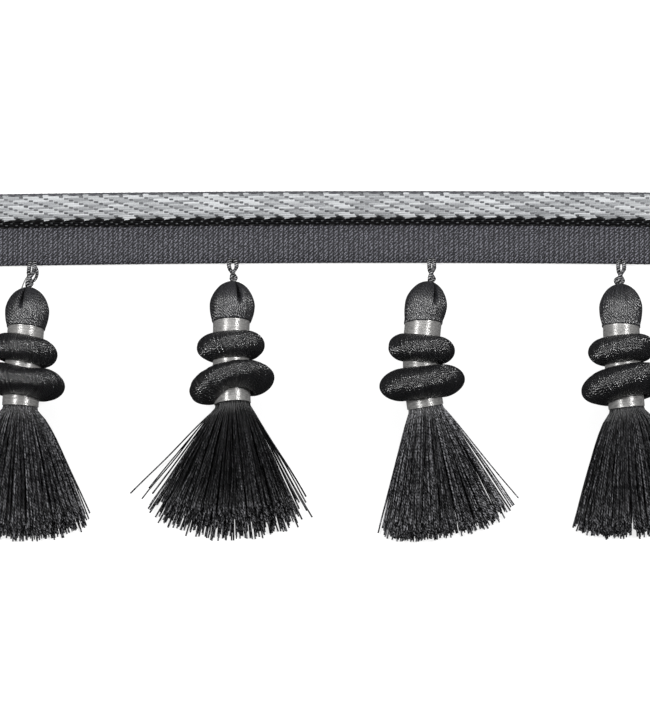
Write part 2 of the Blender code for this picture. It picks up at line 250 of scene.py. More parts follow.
def add_node(tree, kind, inputs=None, **settings):
    """Add one node with its settings, and its set or linked inputs."""
    made = tree.nodes.new(kind)
    for key, value in settings.items():
        setattr(made, key, value)
    for key, value in (inputs or {}).items():
        source = value.outputs[0] if isinstance(value, bpy.types.Node) else value
        if isinstance(source, bpy.types.NodeSocket):
            tree.links.new(source, made.inputs[key])
        else:
            made.inputs[key].default_value = source
    return made


def start_material(name):
    """Make an empty material with a shader and an output, and give it with its tree."""
    made = bpy.data.materials.new(name)
    made.use_nodes = True
    tree = made.node_tree
    tree.nodes.clear()
    shader = add_node(tree, "ShaderNodeBsdfPrincipled")
    add_node(tree, "ShaderNodeOutputMaterial", {"Surface": shader})
    return made, tree, shader


def finish_shader(tree, shader, share, dark, bright, height, relief, strength, levels):
    """Link a mix of two colours and a height's relief in millimetres, and set the levels."""
    colour = add_node(tree, "ShaderNodeMix", {0: share, 6: dark, 7: bright}, data_type="RGBA")
    bump = add_node(tree, "ShaderNodeBump",
                    {"Height": height, "Strength": strength, "Distance": relief * MM})
    tree.links.new(colour.outputs[2], shader.inputs["Base Color"])
    tree.links.new(bump.outputs[0], shader.inputs["Normal"])
    for key, level in levels.items():
        shader.inputs[key].default_value = level


def distance_from_half(tree, value):
    """Give how far the fraction of a value stands from one half."""
    for operation, number in (("FRACT", 0.0), ("SUBTRACT", 0.5), ("ABSOLUTE", 0.0)):
        value = add_node(tree, "ShaderNodeMath", {0: value, 1: number}, operation=operation)
    return value


def put_mesh(name, points, faces, uvs, finish, stands_for, tone=None):
    """Make a piece from points in millimetres and groups of faces with a UV for each corner."""
    mesh = bpy.data.meshes.new(name)
    points = np.asarray(points, dtype=np.float64).reshape(-1, 3) * MM
    sizes = np.concatenate([np.full(len(group), group.shape[1]) for group in faces])
    corners = np.concatenate([group.reshape(-1) for group in faces])
    starts = np.concatenate([[0], np.cumsum(sizes)[:-1]])
    mesh.vertices.add(len(points))
    mesh.vertices.foreach_set("co", points.reshape(-1))
    mesh.loops.add(len(corners))
    mesh.loops.foreach_set("vertex_index", corners.astype(np.int32))
    mesh.polygons.add(len(sizes))
    mesh.polygons.foreach_set("loop_start", starts.astype(np.int32))
    mesh.polygons.foreach_set("use_smooth", np.ones(len(sizes), dtype=bool))
    mesh.update(calc_edges=True)
    layer = mesh.uv_layers.new(name="threads")
    corner_uvs = np.concatenate([group.reshape(-1, 2) for group in uvs])
    layer.data.foreach_set("uv", corner_uvs.reshape(-1))
    if tone is not None:
        shades = mesh.attributes.new("tone", "FLOAT", "POINT")
        shades.data.foreach_set("value", np.asarray(tone, dtype=np.float32).reshape(-1))
    mesh.materials.append(finish)
    mesh.validate()
    piece = bpy.data.objects.new(name, mesh)
    bpy.context.scene.collection.objects.link(piece)
    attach(piece, "root")
    if stands_for:
        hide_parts(stands_for)
    return piece


def grid_quads(rows, columns, closed_rows=False, closed_columns=False):
    """Give the quads between the points of a grid."""
    row = np.arange(rows if closed_rows else rows - 1)[:, None]
    column = np.arange(columns if closed_columns else columns - 1)[None, :]
    below = (row + 1) % rows
    beside = (column + 1) % columns
    quads = np.stack([
        row * columns + column,
        row * columns + beside,
        below * columns + beside,
        below * columns + column,
    ], axis=-1)
    return quads.reshape(-1, 4)


def grid_uvs(start, end):
    """Give each quad's corner UVs from the UVs at the start and end edge of its column.

    start and end have one more row than the quads, so a closed grid has a row to end on.
    """
    corners = np.stack([start[:-1], end[:-1], end[1:], start[1:]], axis=2)
    return corners.reshape(-1, 4, 2)


def thread_uvs(u, v, step):
    """Give the UV of each grid point, and the quads' corner UVs when a column is one step wide."""
    start = np.stack(np.broadcast_arrays(u, v), axis=-1)
    return start, grid_uvs(start, start + np.array([step, 0.0]))


def curve_frame(route, samples):
    """Give a cubic Bezier curve through space, with its sideways and upward directions.

    A point is the sum of the four route points times their Bernstein weights.
    """
    share = np.linspace(0.0, 1.0, samples)
    weights = np.stack([(1 - share) ** 3, 3 * share * (1 - share) ** 2,
                        3 * share ** 2 * (1 - share), share ** 3], axis=1)
    middle = weights @ np.array(route)
    ahead = np.gradient(middle, axis=0)
    ahead /= np.linalg.norm(ahead, axis=1, keepdims=True)
    side = np.cross(np.array([0.0, 0.0, 1.0]), ahead)
    side /= np.linalg.norm(side, axis=1, keepdims=True)
    return share, middle, side, np.cross(ahead, side)


def put_tubes(name, centres, across, upward, sides, finish, stands_for,
              offset=0.0, tone=None):
    """Carry an ellipse along each of many paths at once, and close both of its ends.

    A point is its path's point plus the cosine of the angle times the across vector plus the
    sine times the upward vector. UV is the share of a turn, and the length along the path.
    """
    count, stations = centres.shape[:2]
    angle = np.arange(sides) * 2.0 * math.pi / sides
    points = (centres[:, :, None, :]
              + np.cos(angle)[:, None] * across[:, :, None, :]
              + np.sin(angle)[:, None] * upward[:, :, None, :])
    steps = np.linalg.norm(np.diff(centres, axis=1), axis=2)
    length = np.concatenate([np.zeros((count, 1)), np.cumsum(steps, axis=1)], axis=1)
    length = length + np.broadcast_to(np.asarray(offset).reshape(-1, 1), (count, 1))
    first = (np.arange(count) * stations * sides)[:, None, None]
    quads = grid_quads(stations, sides, closed_columns=True)
    walls = (first + quads[None]).reshape(-1, 4)
    share = np.arange(sides) / sides
    beside = share + 1.0 / sides
    start = np.stack(np.broadcast_arrays(share[None, None, :], length[:, :, None]), axis=-1)
    end = np.stack(np.broadcast_arrays(beside[None, None, :], length[:, :, None]), axis=-1)
    wall_uvs = np.stack([start[:, :-1], end[:, :-1], end[:, 1:], start[:, 1:]], axis=3)
    ring = np.arange(sides)
    back = first[:, 0] + ring[::-1]
    front = first[:, 0] + (stations - 1) * sides + ring
    caps = np.concatenate([back, front])
    cap_uvs = np.concatenate([start[:, 0, ::-1], start[:, -1]])
    shades = None
    if tone is not None:
        shades = np.reshape(tone, (count, -1, 1))
        shades = np.broadcast_to(shades, points.shape[:3])
    return put_mesh(name, points, [walls, caps], [wall_uvs.reshape(-1, 4, 2), cap_uvs],
                    finish, stands_for, tone=shades)


def smooth_table(table, at):
    """Read a table of two columns as a smooth curve through its points (Catmull-Rom)."""
    x, y = np.array(table).T
    slope = np.gradient(y, x)
    cell = np.clip(np.searchsorted(x, at, side="right") - 1, 0, len(x) - 2)
    width = x[cell + 1] - x[cell]
    t = np.clip((at - x[cell]) / width, 0.0, 1.0)
    return ((2 * t ** 3 - 3 * t ** 2 + 1) * y[cell] + (t ** 3 - 2 * t ** 2 + t) * width * slope[cell]
            + (3 * t ** 2 - 2 * t ** 3) * y[cell + 1] + (t ** 3 - t ** 2) * width * slope[cell + 1])


def thread_profile(fraction):
    """Give the height of a laid thread across its width: a round back between sharp grooves."""
    return np.sqrt(np.clip(1.0 - (2.0 * fraction - 1.0) ** 2, 0.0, 1.0))


def tape_bow(x):
    """Shift the tape towards the tassels at its ends, as it lies a little bowed."""
    return -TAPE_BOW * ((x - TAPE_BOW_CENTRE) / (0.5 * TAPE_LENGTH)) ** 2


def tape_point(x, from_top, height):
    """Give the place of a point that is a distance below the tape's upper edge."""
    return np.stack(np.broadcast_arrays(
        x, 0.5 * TAPE_WIDTH - from_top + tape_bow(x), height), axis=-1)


def put_tape(finish):
    """Carry the tape's outline along X: the front's height from a table, then a flat back.

    The two edges wander by a few hundredths of a millimetre with the picks of the weave.
    """
    stations = int(round(TAPE_LENGTH / TAPE_STEP)) + 1
    x = np.linspace(-0.5 * TAPE_LENGTH, 0.5 * TAPE_LENGTH, stations)
    front = np.linspace(0.0, TAPE_WIDTH, TAPE_COLUMNS)
    height = smooth_table(TAPE_BODY, front)
    outline = np.concatenate([
        [(0.3, 0.0), (0.03, 0.3)],
        np.stack([front, height], axis=1),
        [(TAPE_WIDTH - 0.03, 0.3), (TAPE_WIDTH - 0.3, 0.0)],
    ])
    pick = 2.0 * math.pi * (x - REPEAT_START) / (REPEAT / 4.0)
    wander = 0.05 * np.sin(pick) + 0.05 * np.sin(0.37 * pick + 1.0)
    edge = np.clip(np.abs(outline[:, 0] / TAPE_WIDTH - 0.5) * 24.0 - 11.0, 0.0, 1.0)
    signs = np.where(outline[:, 0] < 0.5 * TAPE_WIDTH, -1.0, 1.0)
    from_top = outline[None, :, 0] + signs * edge * np.abs(wander)[:, None]
    points = tape_point(x[:, None], from_top, outline[None, :, 1])
    rows, columns = points.shape[:2]
    quads = grid_quads(rows, columns, closed_columns=True)
    start = np.stack(np.broadcast_arrays(x[:, None], outline[None, :, 0]), axis=-1)
    uvs = grid_uvs(start, np.roll(start, -1, axis=1))
    ends = np.stack([np.arange(columns)[::-1], (rows - 1) * columns + np.arange(columns)])
    end_uvs = np.stack([start[0, ::-1], start[-1]])
    return put_mesh("tape_cloth", points, [quads, ends], [uvs, end_uvs], finish,
                    "tape")


def float_places(from_top, phase, pitch_share):
    """Give the middles of one row's floats along the tape, at every share of a repeat."""
    pitch = REPEAT * pitch_share
    first = REPEAT_START + REPEAT * phase
    first += math.ceil((-0.5 * TAPE_LENGTH + 0.4 - first) / pitch) * pitch
    x = np.arange(first, 0.5 * TAPE_LENGTH - 0.4, pitch)
    return np.stack([x, np.full(len(x), from_top)], axis=1)


def put_floats(name, places, lengths, widths, heights, tops, finish, random, sides=8):
    """Lay a row of floats on the tape: each one rises, runs flat and dives at its other end.

    Its height is the square root of one minus the fourth power of the share of its half
    length, and its width shrinks a little towards both ends. Each size is one number for all
    the floats or one for each.
    """
    lengths, widths, heights, tops = (np.broadcast_to(size, len(places))[:, None]
                                      for size in (lengths, widths, heights, tops))
    share = np.linspace(-1.0, 1.0, 9)
    rise = np.clip(1.0 - share ** 4, 0.0, 1.0) ** 0.5
    x = places[:, :1] + 0.5 * lengths * share
    limit = 0.5 * TAPE_LENGTH - 0.02
    x = np.clip(x, -limit, limit)
    base = smooth_table(TAPE_BODY, places[:, 1])[:, None]
    centres = tape_point(x, places[:, 1:] + 0.0 * x, base + tops * rise - heights)
    half = 0.5 * widths * (0.55 + 0.45 * rise)
    across = np.stack([0.0 * half, half, 0.0 * half], axis=-1)
    upward = np.stack([0.0 * half, 0.0 * half, heights * (0.4 + 0.6 * rise)], axis=-1)
    tone = random.uniform(0.0, 1.0, len(places))
    return put_tubes(name, centres, across, upward, sides, finish, None,
                     offset=random.uniform(0.0, 50.0, len(places)), tone=tone)


def put_silver_band(finish, random):
    """Lay the silver floats: each row's gap stands a quarter repeat beyond the row above."""
    groups = []
    for row in range(SILVER_ROWS):
        here = float_places(SILVER_FIRST_ROW + SILVER_ROW_PITCH * row,
                            SILVER_GAP_PHASE + 0.25 * row + 0.5, 1.0)
        length = REPEAT * (1.0 - SILVER_GAP)
        if row == SILVER_ROWS - 1:
            here[:, 0] -= 0.1 * REPEAT
            length *= 0.75
        groups.append((here, length))
    scallops_from_top = SILVER_FIRST_ROW + SILVER_ROW_PITCH * SILVER_ROWS
    groups.append((float_places(SILVER_FIRST_ROW - 0.45, 0.27, 1.0), 2.0))
    groups.append((float_places(scallops_from_top, 0.34, 1.0), 1.9))
    places = np.concatenate([here for here, _ in groups])
    count = len(places)
    return put_floats(
        "tape_silver_floats", places,
        np.concatenate([np.full(len(here), length) for here, length in groups]),
        0.82 + random.uniform(-0.03, 0.03, count), 0.17,
        0.22 + random.uniform(-0.02, 0.02, count), finish, random)


def put_black_band(finish, random):
    """Lay the black floats: short chunky stitches, each row set between those of the next."""
    groups = [(float_places(*row[:3]), REPEAT * row[3]) for row in BLACK_ROWS]
    places = np.concatenate([here for here, _ in groups])
    count = len(places)
    return put_floats(
        "tape_black_floats", places,
        np.concatenate([np.full(len(here), length) for here, length in groups]),
        0.72 + random.uniform(-0.04, 0.04, count), 0.3,
        0.3 + random.uniform(-0.03, 0.03, count), finish, random)


def put_grey_ties(finish, random):
    """Set the grey ties that bind the silver floats, one over each gap between two floats."""
    places = np.concatenate([
        float_places(SILVER_FIRST_ROW + SILVER_ROW_PITCH * row, SILVER_GAP_PHASE + 0.25 * row, 1.0)
        for row in range(SILVER_ROWS - 1)])
    count = len(places)
    return put_floats(
        "tape_grey_ties", places, random.uniform(1.2, 1.6, count), random.uniform(0.6, 0.78, count),
        0.15, 0.29, finish, random, sides=6)


def put_silver_dots(finish, random):
    """Set the silver ties between the black floats."""
    places = np.concatenate([float_places(*row) for row in DOT_ROWS])
    return put_floats("tape_silver_ties", places, 0.72, 0.26, 0.16, 0.3,
                      finish, random, sides=6)


class Axis:
    """A tassel's bent middle line, from the head's top to the skirt's root, as in the frame.

    X is a parabola in Y through four seen points. The slope changes evenly from head to root,
    and the height is such that the lower ring rests on the table.
    """

    def __init__(self, tassel):
        lower = named_rows(RING_COLUMNS, RINGS)[1]
        seen_y = np.array([tassel[key] for key in ("top_y", "upper_y", "lower_y", "root_y")])
        seen_x = np.array([tassel[key] for key in ("top_x", "upper_x", "lower_x", "root_x")])
        y = np.linspace(tassel["top_y"], tassel["root_y"], AXIS_STATIONS)
        x = np.polyval(np.polyfit(seen_y, seen_x, 2), y)
        head_y = tassel["top_y"] - HEAD_MIDDLE
        head_slope = math.tan(math.radians(tassel["head_slope"]))
        root_slope = math.tan(math.radians(tassel["root_slope"]))
        bend = (root_slope - head_slope) / (head_y - tassel["root_y"])
        ring_slope = head_slope + bend * (head_y - tassel["lower_y"])
        past = tassel["lower_y"] - y
        z = ring_height(lower, math.radians(tassel["lower_climb"]))
        z = z + ring_slope * past + 0.5 * bend * past ** 2
        self.points = np.stack([x, y, z], axis=1)
        steps = np.linalg.norm(np.diff(self.points, axis=0), axis=1)
        self.distance = np.concatenate([[0.0], np.cumsum(steps)])
        self.length = self.distance[-1]

    def point(self, distance):
        """Give the points at distances along the line, and straight on beyond its ends."""
        inside = np.stack([np.interp(distance, self.distance, self.points[:, k])
                           for k in range(3)], axis=-1)
        first = (self.points[1] - self.points[0]) / self.distance[1]
        before = np.minimum(distance, 0.0)[..., None] * first
        return inside + before

    def at(self, distance):
        """Give the points and the sideways, upward and forward directions at distances."""
        distance = np.asarray(distance, dtype=float)
        behind = self.point(np.clip(distance - AXIS_SPAN, 0.0, self.length))
        ahead = self.point(np.clip(distance + AXIS_SPAN, 0.0, self.length))
        forward = ahead - behind
        forward = forward / np.linalg.norm(forward, axis=-1, keepdims=True)
        side = np.cross(np.array([0.0, 0.0, 1.0]), forward)
        side = side / np.linalg.norm(side, axis=-1, keepdims=True)
        return self.point(distance), side, np.cross(forward, side), forward

    def distance_at_y(self, y):
        """Give the distance along the axis at which it passes a value of Y."""
        return np.interp(-y, -self.points[:, 1], self.distance)


def ring_height(ring, climb):
    """Give the height of a tilted ring's centre when its rim dips by the flat spot."""
    reach = ring["outer_radius"] - ring["core_radius"]
    rim = math.hypot(reach * math.cos(climb), ring["half_height"] * math.sin(climb))
    return ring["core_radius"] * math.cos(climb) + rim - FLAT_SPOT


def laid_threads(count, samples):
    """Give the columns of laid threads: their share of a turn, their number and fraction."""
    fraction = np.tile(np.arange(samples) / samples, count)
    number = np.repeat(np.arange(count), samples)
    return (number + fraction) / count, number, fraction


def put_head(prefix, axis, tassel, finish, random):
    """Turn the head's profile about the axis, with yarns laid side by side over it.

    The radius is a smooth curve of the distance from the top, plus a round ridge for each
    yarn, less a slit where the yarns part below the hanger. The lower rim drops along the axis
    and leans to one side, by the square of its share of the way down.
    """
    samples = 4
    turn, number, fraction = laid_threads(HEAD_YARNS, samples)
    share = np.linspace(0.0, 1.0, HEAD_ROWS)
    low = HEAD[0][0]
    distance = low + (HEAD[-1][0] - low) * (0.35 * share ** 2 + 0.65 * share)
    radius = np.maximum(smooth_table(HEAD, distance), 0.0) * tassel["head_radius"]
    over_neck = (distance > 8.0) & (distance < 12.7)
    radius[over_neck] = np.maximum(radius[over_neck], BINDING_OUTER + RIM_CLEARANCE)
    radius[0] = 0.02
    angle = 2.0 * math.pi * turn
    spacing = 2.0 * math.pi * radius / HEAD_YARNS
    ridge = np.minimum(HEAD_RIDGE, 0.45 * spacing)
    per_yarn = random.uniform(0.6, 1.25, HEAD_YARNS)[number]
    wander = 0.018 * np.sin(5.0 * angle + 6.0 * share[:, None] + random.uniform(0.0, 6.0))
    parting = math.radians(tassel["parting"])
    beside = (angle[None, :] - parting + math.pi) % (2.0 * math.pi) - math.pi
    beside = beside + 0.07 * (share[:, None] - 0.35)
    along = np.clip(np.minimum((distance + 0.2) / 0.8, (PARTING_END - distance) / 3.5), 0.0, 1.0)
    slit = np.exp(-(beside / math.radians(PARTING_WIDTH)) ** 2) * along[:, None]
    lump = (0.09 * np.sin(2.0 * angle + random.uniform(0.0, 6.0))
            + 0.07 * np.sin(3.0 * angle + random.uniform(0.0, 6.0)))
    full = (radius[:, None] * (1.0 + 0.01 * lump)
            + ridge[:, None] * (thread_profile(fraction) * per_yarn - 0.8)
            - tassel["slit"] * np.minimum(PARTING_DEPTH, 0.55 * radius)[:, None] * slit)
    full = np.maximum(full, 0.01)
    low_share = np.clip((distance - RIM_FROM) / (HEAD[-1][0] - RIM_FROM), 0.0, 1.0) ** 2
    drop = low_share[:, None] * (tassel["rim_drop"] + tassel["rim_lean"] * np.cos(angle))
    point, side, up, _ = axis.at(distance[:, None] + drop)
    out = (np.cos(angle + wander)[..., None] * side
           + np.sin(angle + wander)[..., None] * up)
    points = point + full[..., None] * out
    points[..., 2] = np.maximum(points[..., 2], 0.0)
    columns = len(turn)
    quads = grid_quads(HEAD_ROWS, columns, closed_columns=True)
    shift = random.uniform(0.0, 40.0, HEAD_YARNS)[number]
    start, uvs = thread_uvs((number + fraction)[None, :], distance[:, None] + shift, 1.0 / samples)
    ring = np.arange(columns)
    caps = np.stack([ring[::-1], (HEAD_ROWS - 1) * columns + ring])
    cap_uvs = np.stack([start[0, ::-1], start[-1]])
    tone = np.full(points.shape[:2], 0.8) + 0.5 * random.uniform(-1.0, 1.0, HEAD_YARNS)[number]
    return put_mesh(prefix + "head", points, [quads, caps], [uvs, cap_uvs],
                    finish, prefix + "yarn", tone=tone)


def put_binding(prefix, axis, finish, random):
    """Wind the silver thread on the neck: a sleeve whose outside has one ridge for each turn."""
    start = BINDING_FROM
    end = axis.length - BINDING_TO_ROOT
    turns = int(round((end - start) / BINDING_PITCH))
    samples = 4
    share, number, fraction = laid_threads(turns, samples)
    distance = start + (end - start) * np.append(share, 1.0)
    number = np.append(number, turns - 1)
    fraction = np.append(fraction, 0.0)
    per_turn = random.uniform(0.55, 1.15, turns)[number]
    radius = BINDING_OUTER - BINDING_RIDGE + BINDING_RIDGE * thread_profile(fraction) * per_turn
    angle = np.arange(BINDING_SIDES) * 2.0 * math.pi / BINDING_SIDES
    outside = radius[:, None] * np.ones(BINDING_SIDES)
    inside = np.full((2, BINDING_SIDES), BINDING_INNER)
    radii = np.concatenate([outside, inside])
    stations = np.concatenate([distance, [end - 0.02, start + 0.02]])
    lean = 0.06 * np.sin(angle + random.uniform(0.0, 6.0))
    point, side, up, forward = axis.at(stations)
    out = np.cos(angle)[:, None] * side[:, None, :] + np.sin(angle)[:, None] * up[:, None, :]
    points = point[:, None, :] + radii[..., None] * out
    points[2:-4] += lean[:, None] * forward[2:-4, None, :]
    rows = len(stations)
    quads = grid_quads(rows, BINDING_SIDES, closed_rows=True, closed_columns=True)
    along = np.append(stations, stations[0])
    around = np.arange(BINDING_SIDES) / BINDING_SIDES * 2.0 * math.pi * BINDING_OUTER
    step = 2.0 * math.pi * BINDING_OUTER / BINDING_SIDES
    _, uvs = thread_uvs(around[None, :], along[:, None], step)
    tone = np.broadcast_to(
        np.append(random.uniform(0.0, 1.0, turns)[number], [0.5, 0.5])[:, None],
        (rows, BINDING_SIDES))
    return put_mesh(prefix + "neck_winding", points, [quads], [uvs],
                    finish, prefix + "binding", tone=tone)


def ring_outline(ring):
    """Give a ring's outline as radius and height: half an ellipse outside, then the bore."""
    bulge = np.linspace(-0.5 * math.pi, 0.5 * math.pi, 29)
    outside = np.stack([
        ring["core_radius"] + (ring["outer_radius"] - ring["core_radius"])
        * np.maximum(np.cos(bulge), 0.0) ** RING_KEENNESS,
        ring["half_height"] * np.sin(bulge),
    ], axis=1)
    steps = np.linspace(0.9, -0.9, 7)
    bore = np.stack([RING_BORE + 0.45 * steps ** 2, ring["half_height"] * steps], axis=1)
    return np.concatenate([outside, bore])


def put_ring(prefix, ring, axis, tassel, finish, random):
    """Turn a ring's outline about its own centre line, with thread wound round the outline.

    Each thread is a round ridge along the outline. It slants on the outside, lies a little
    higher or lower than its neighbours, and the whole ring is lumpy by a few tenths. The front
    is thinner and arched by the square of the sine of the turn.
    """
    name = ring["name"]
    centre = axis.at(axis.distance_at_y(tassel[name + "_y"]))[0]
    turn = math.radians(tassel[name + "_turn"])
    climb = math.radians(tassel[name + "_climb"])
    side = np.array([math.cos(turn), math.sin(turn), 0.0])
    level = np.cross(side, (0.0, 0.0, 1.0))
    forward = math.cos(climb) * level + math.sin(climb) * np.array([0.0, 0.0, 1.0])
    up = np.cross(forward, side)
    outline = ring_outline(ring)
    rows = len(outline)
    thin = tassel["ring_thin"] if name == "lower" else 0.0
    arch = tassel["ring_arch"] if name == "lower" else 0.0
    ahead = np.roll(outline, -1, axis=0) - np.roll(outline, 1, axis=0)
    normal = np.stack([ahead[:, 1], -ahead[:, 0]], axis=1)
    normal /= np.linalg.norm(normal, axis=1, keepdims=True)
    steps = np.linalg.norm(np.diff(outline, axis=0, append=outline[:1]), axis=1)
    length = np.concatenate([[0.0], np.cumsum(steps)])
    samples = 4
    threads = ring["threads"]
    share, number, fraction = laid_threads(threads, samples)
    reach = (outline[:, 0] - RING_BORE) / (ring["outer_radius"] - RING_BORE)
    reach = np.clip(reach, 0.0, 1.0)
    ridge = 0.03 + (RING_RIDGE - 0.03) * reach ** 0.6
    sway = random.normal(0.0, 0.25, threads)
    sway = np.convolve(np.concatenate([sway[-2:], sway, sway[:2]]), np.full(5, 0.2), "valid")
    slant = math.tan(math.radians(RING_SLANT)) / ring["outer_radius"]
    shift = -slant * outline[:, 1] * (0.2 + 0.8 * reach)
    angle = 2.0 * math.pi * share + shift[:, None] * (1.0 + 1.2 * sway[number])
    height = random.uniform(0.35, 1.3, threads)[number]
    lump = sum(size * np.sin(waves * 2.0 * math.pi * share + random.uniform(0.0, 6.0))
               for size, waves in RING_LUMPS)
    proud = (ridge[:, None] * (thread_profile(fraction) * height - 0.85)
             + reach[:, None] * lump)
    front = np.sin(2.0 * math.pi * share) ** 2
    radius = outline[:, :1] + normal[:, :1] * proud
    along = (outline[:, 1:] + normal[:, 1:] * proud) * (1.0 - thin * front) - arch * front
    out = np.cos(angle)[..., None] * side + np.sin(angle)[..., None] * up
    points = centre + radius[..., None] * out + along[..., None] * forward
    points[..., 2] = np.maximum(points[..., 2], 0.0)
    columns = threads * samples
    quads = grid_quads(rows, columns, closed_rows=True, closed_columns=True)
    offset = random.uniform(0.0, 40.0, threads)[number]
    _, uvs = thread_uvs((number + fraction)[None, :], length[:, None] + offset, 1.0 / samples)
    tone = np.broadcast_to(random.uniform(0.4, 1.5, threads)[number], (rows, columns))
    return put_mesh(prefix + "wound_ring_" + name, points, [quads], [uvs],
                    finish, prefix + "ring_" + name, tone=tone)


def put_skirt(prefix, axis, tassel, finish, random):
    """Fan the cut yarns out from the neck, falling to the table.

    Each yarn has a place on the unit disc, in a sunflower pattern. Its sideways place sets its
    heading, its upward place sets where it comes to lie, and its height falls from the root
    to the tip as one minus the share of the fall, squared, times one plus twice that share.
    Clumps pull the headings together, and a few loose yarns stray from them.
    """
    number = np.arange(YARNS) + 0.5
    radius = np.sqrt(number / YARNS)
    turn = number * GOLDEN_ANGLE + math.radians(tassel["spiral_turn"])
    across = radius * np.cos(turn)
    up_share = radius * np.sin(turn)
    chord = np.sqrt(np.maximum(1.0 - across ** 2, 1e-3))
    level = np.clip(up_share / chord, -1.0, 1.0)
    level_share = (level + 1.0) / 2.0
    rest = np.maximum(level_share - FLOOR_SHARE, 0.0) / (1.0 - FLOOR_SHARE)
    tip_z = rest * SKIRT_TIP_HEIGHT * chord + YARN_RADIUS
    left = across < 0.0
    fan_angle = np.abs(np.where(left, tassel["fan_left"], tassel["fan_right"]))
    stray_angle = np.abs(np.where(left, tassel["stray_left"], tassel["stray_right"]))
    heading = across * fan_angle
    heading += np.sign(across) * np.abs(across) ** 24 * (stray_angle - fan_angle)
    clumps = np.sort(random.uniform(-1.0, 1.0, CLUMPS)) * 1.05
    clumps = np.where(clumps < 0.0, clumps * abs(tassel["fan_left"]), clumps * tassel["fan_right"])
    clump = np.argmin(np.abs(heading[:, None] + random.normal(0.0, 1.2, YARNS)[:, None]
                             - clumps), axis=1)
    heading += CLUMP_PULL * (clumps[clump] - heading) * (np.abs(across) < 0.93)
    loose = random.uniform(0.0, 1.0, YARNS) < LOOSE_SHARE
    heading += random.normal(0.0, HEADING_SPREAD, YARNS)
    heading += loose * random.normal(0.0, LOOSE_SPREAD, YARNS)
    heading = np.radians(heading)
    length = (tassel["skirt_length"] * (1.0 + random.uniform(*LENGTH_SPREAD, YARNS))
              - tassel["cut_slant"] * rest)
    point, side, up, forward = axis.at(axis.length)
    root = point + YARN_DISC * (across[:, None] * side + up_share[:, None] * up)
    inner = root - ROOT_DEPTH * forward - 0.1 * (root - point)
    flat_length = np.sqrt(length ** 2 - (root[:, 2] - tip_z) ** 2)
    lands = LAND_FIRST + (1.0 - LAND_FIRST) * level_share
    direction = np.stack([np.sin(heading), -np.cos(heading), 0.0 * heading], axis=1)
    sideways = np.stack([np.cos(heading), np.sin(heading), 0.0 * heading], axis=1)
    share = np.linspace(0.0, 1.0, YARN_STATIONS - 1)
    fall = np.minimum(share / lands[:, None], 1.0)
    wave = (random.normal(0.0, 0.55, YARNS)[:, None] * share ** 2
            + random.normal(0.0, 0.16, YARNS)[:, None]
            * np.sin(share * math.pi * random.uniform(1.0, 3.0, YARNS)[:, None])
            + tassel["bulge"] * across[:, None] * np.sin(math.pi * share ** BULGE_POWER))
    path = (root[:, None, :] + direction[:, None, :] * (flat_length[:, None] * share)[..., None]
            + sideways[:, None, :] * wave[..., None])
    drop = (root[:, 2] - tip_z)[:, None] * (1.0 - fall) ** 2 * (1.0 + 2.0 * fall)
    path[..., 2] = tip_z[:, None] + drop
    path[..., 2] += 0.25 * random.normal(0.0, 1.0, YARNS)[:, None] * np.sin(math.pi * share)
    path[..., 2] = np.maximum(path[..., 2], YARN_RADIUS)
    centres = np.concatenate([inner[:, None, :], path], axis=1)
    thick = YARN_RADIUS * random.uniform(0.85, 1.12, YARNS)
    swell = np.append(1.0, 1.0 + 0.12 * share)
    girth = thick[:, None] * swell
    wide = sideways[:, None, :] * girth[..., None]
    high = np.array([0.0, 0.0, 1.0]) * girth[..., None]
    tone = tassel["tone"] * (random.uniform(0.3, 1.0, CLUMPS)[clump]
                             * random.uniform(0.2, 1.2, YARNS))
    # Painted highlight: loose yarns get a higher tone, a lighter colour for the glints along them
    tone = tone + 0.25 * loose
    # Painted shade: the tone darkens towards the root, more for a darker tassel, where the yarns
    # fall steeply away from the light
    painted_root_shade = np.clip(1.0 - 1.4 * (1.0 - tassel["tone"]) * np.exp(-4.0 * share), 0.0, 1.0)
    tone = tone[:, None] * np.append(painted_root_shade[0], painted_root_shade)
    # Painted highlight: the very tips get a higher tone, a lighter colour where the flattened yarns
    # catch the light
    tone = tone + 0.7 * np.append(0.0, share) ** 30
    return put_tubes(prefix + "skirt", centres, wide, high, YARN_SIDES, finish,
                     prefix + "yarn", offset=random.uniform(0.0, 80.0, YARNS), tone=tone)


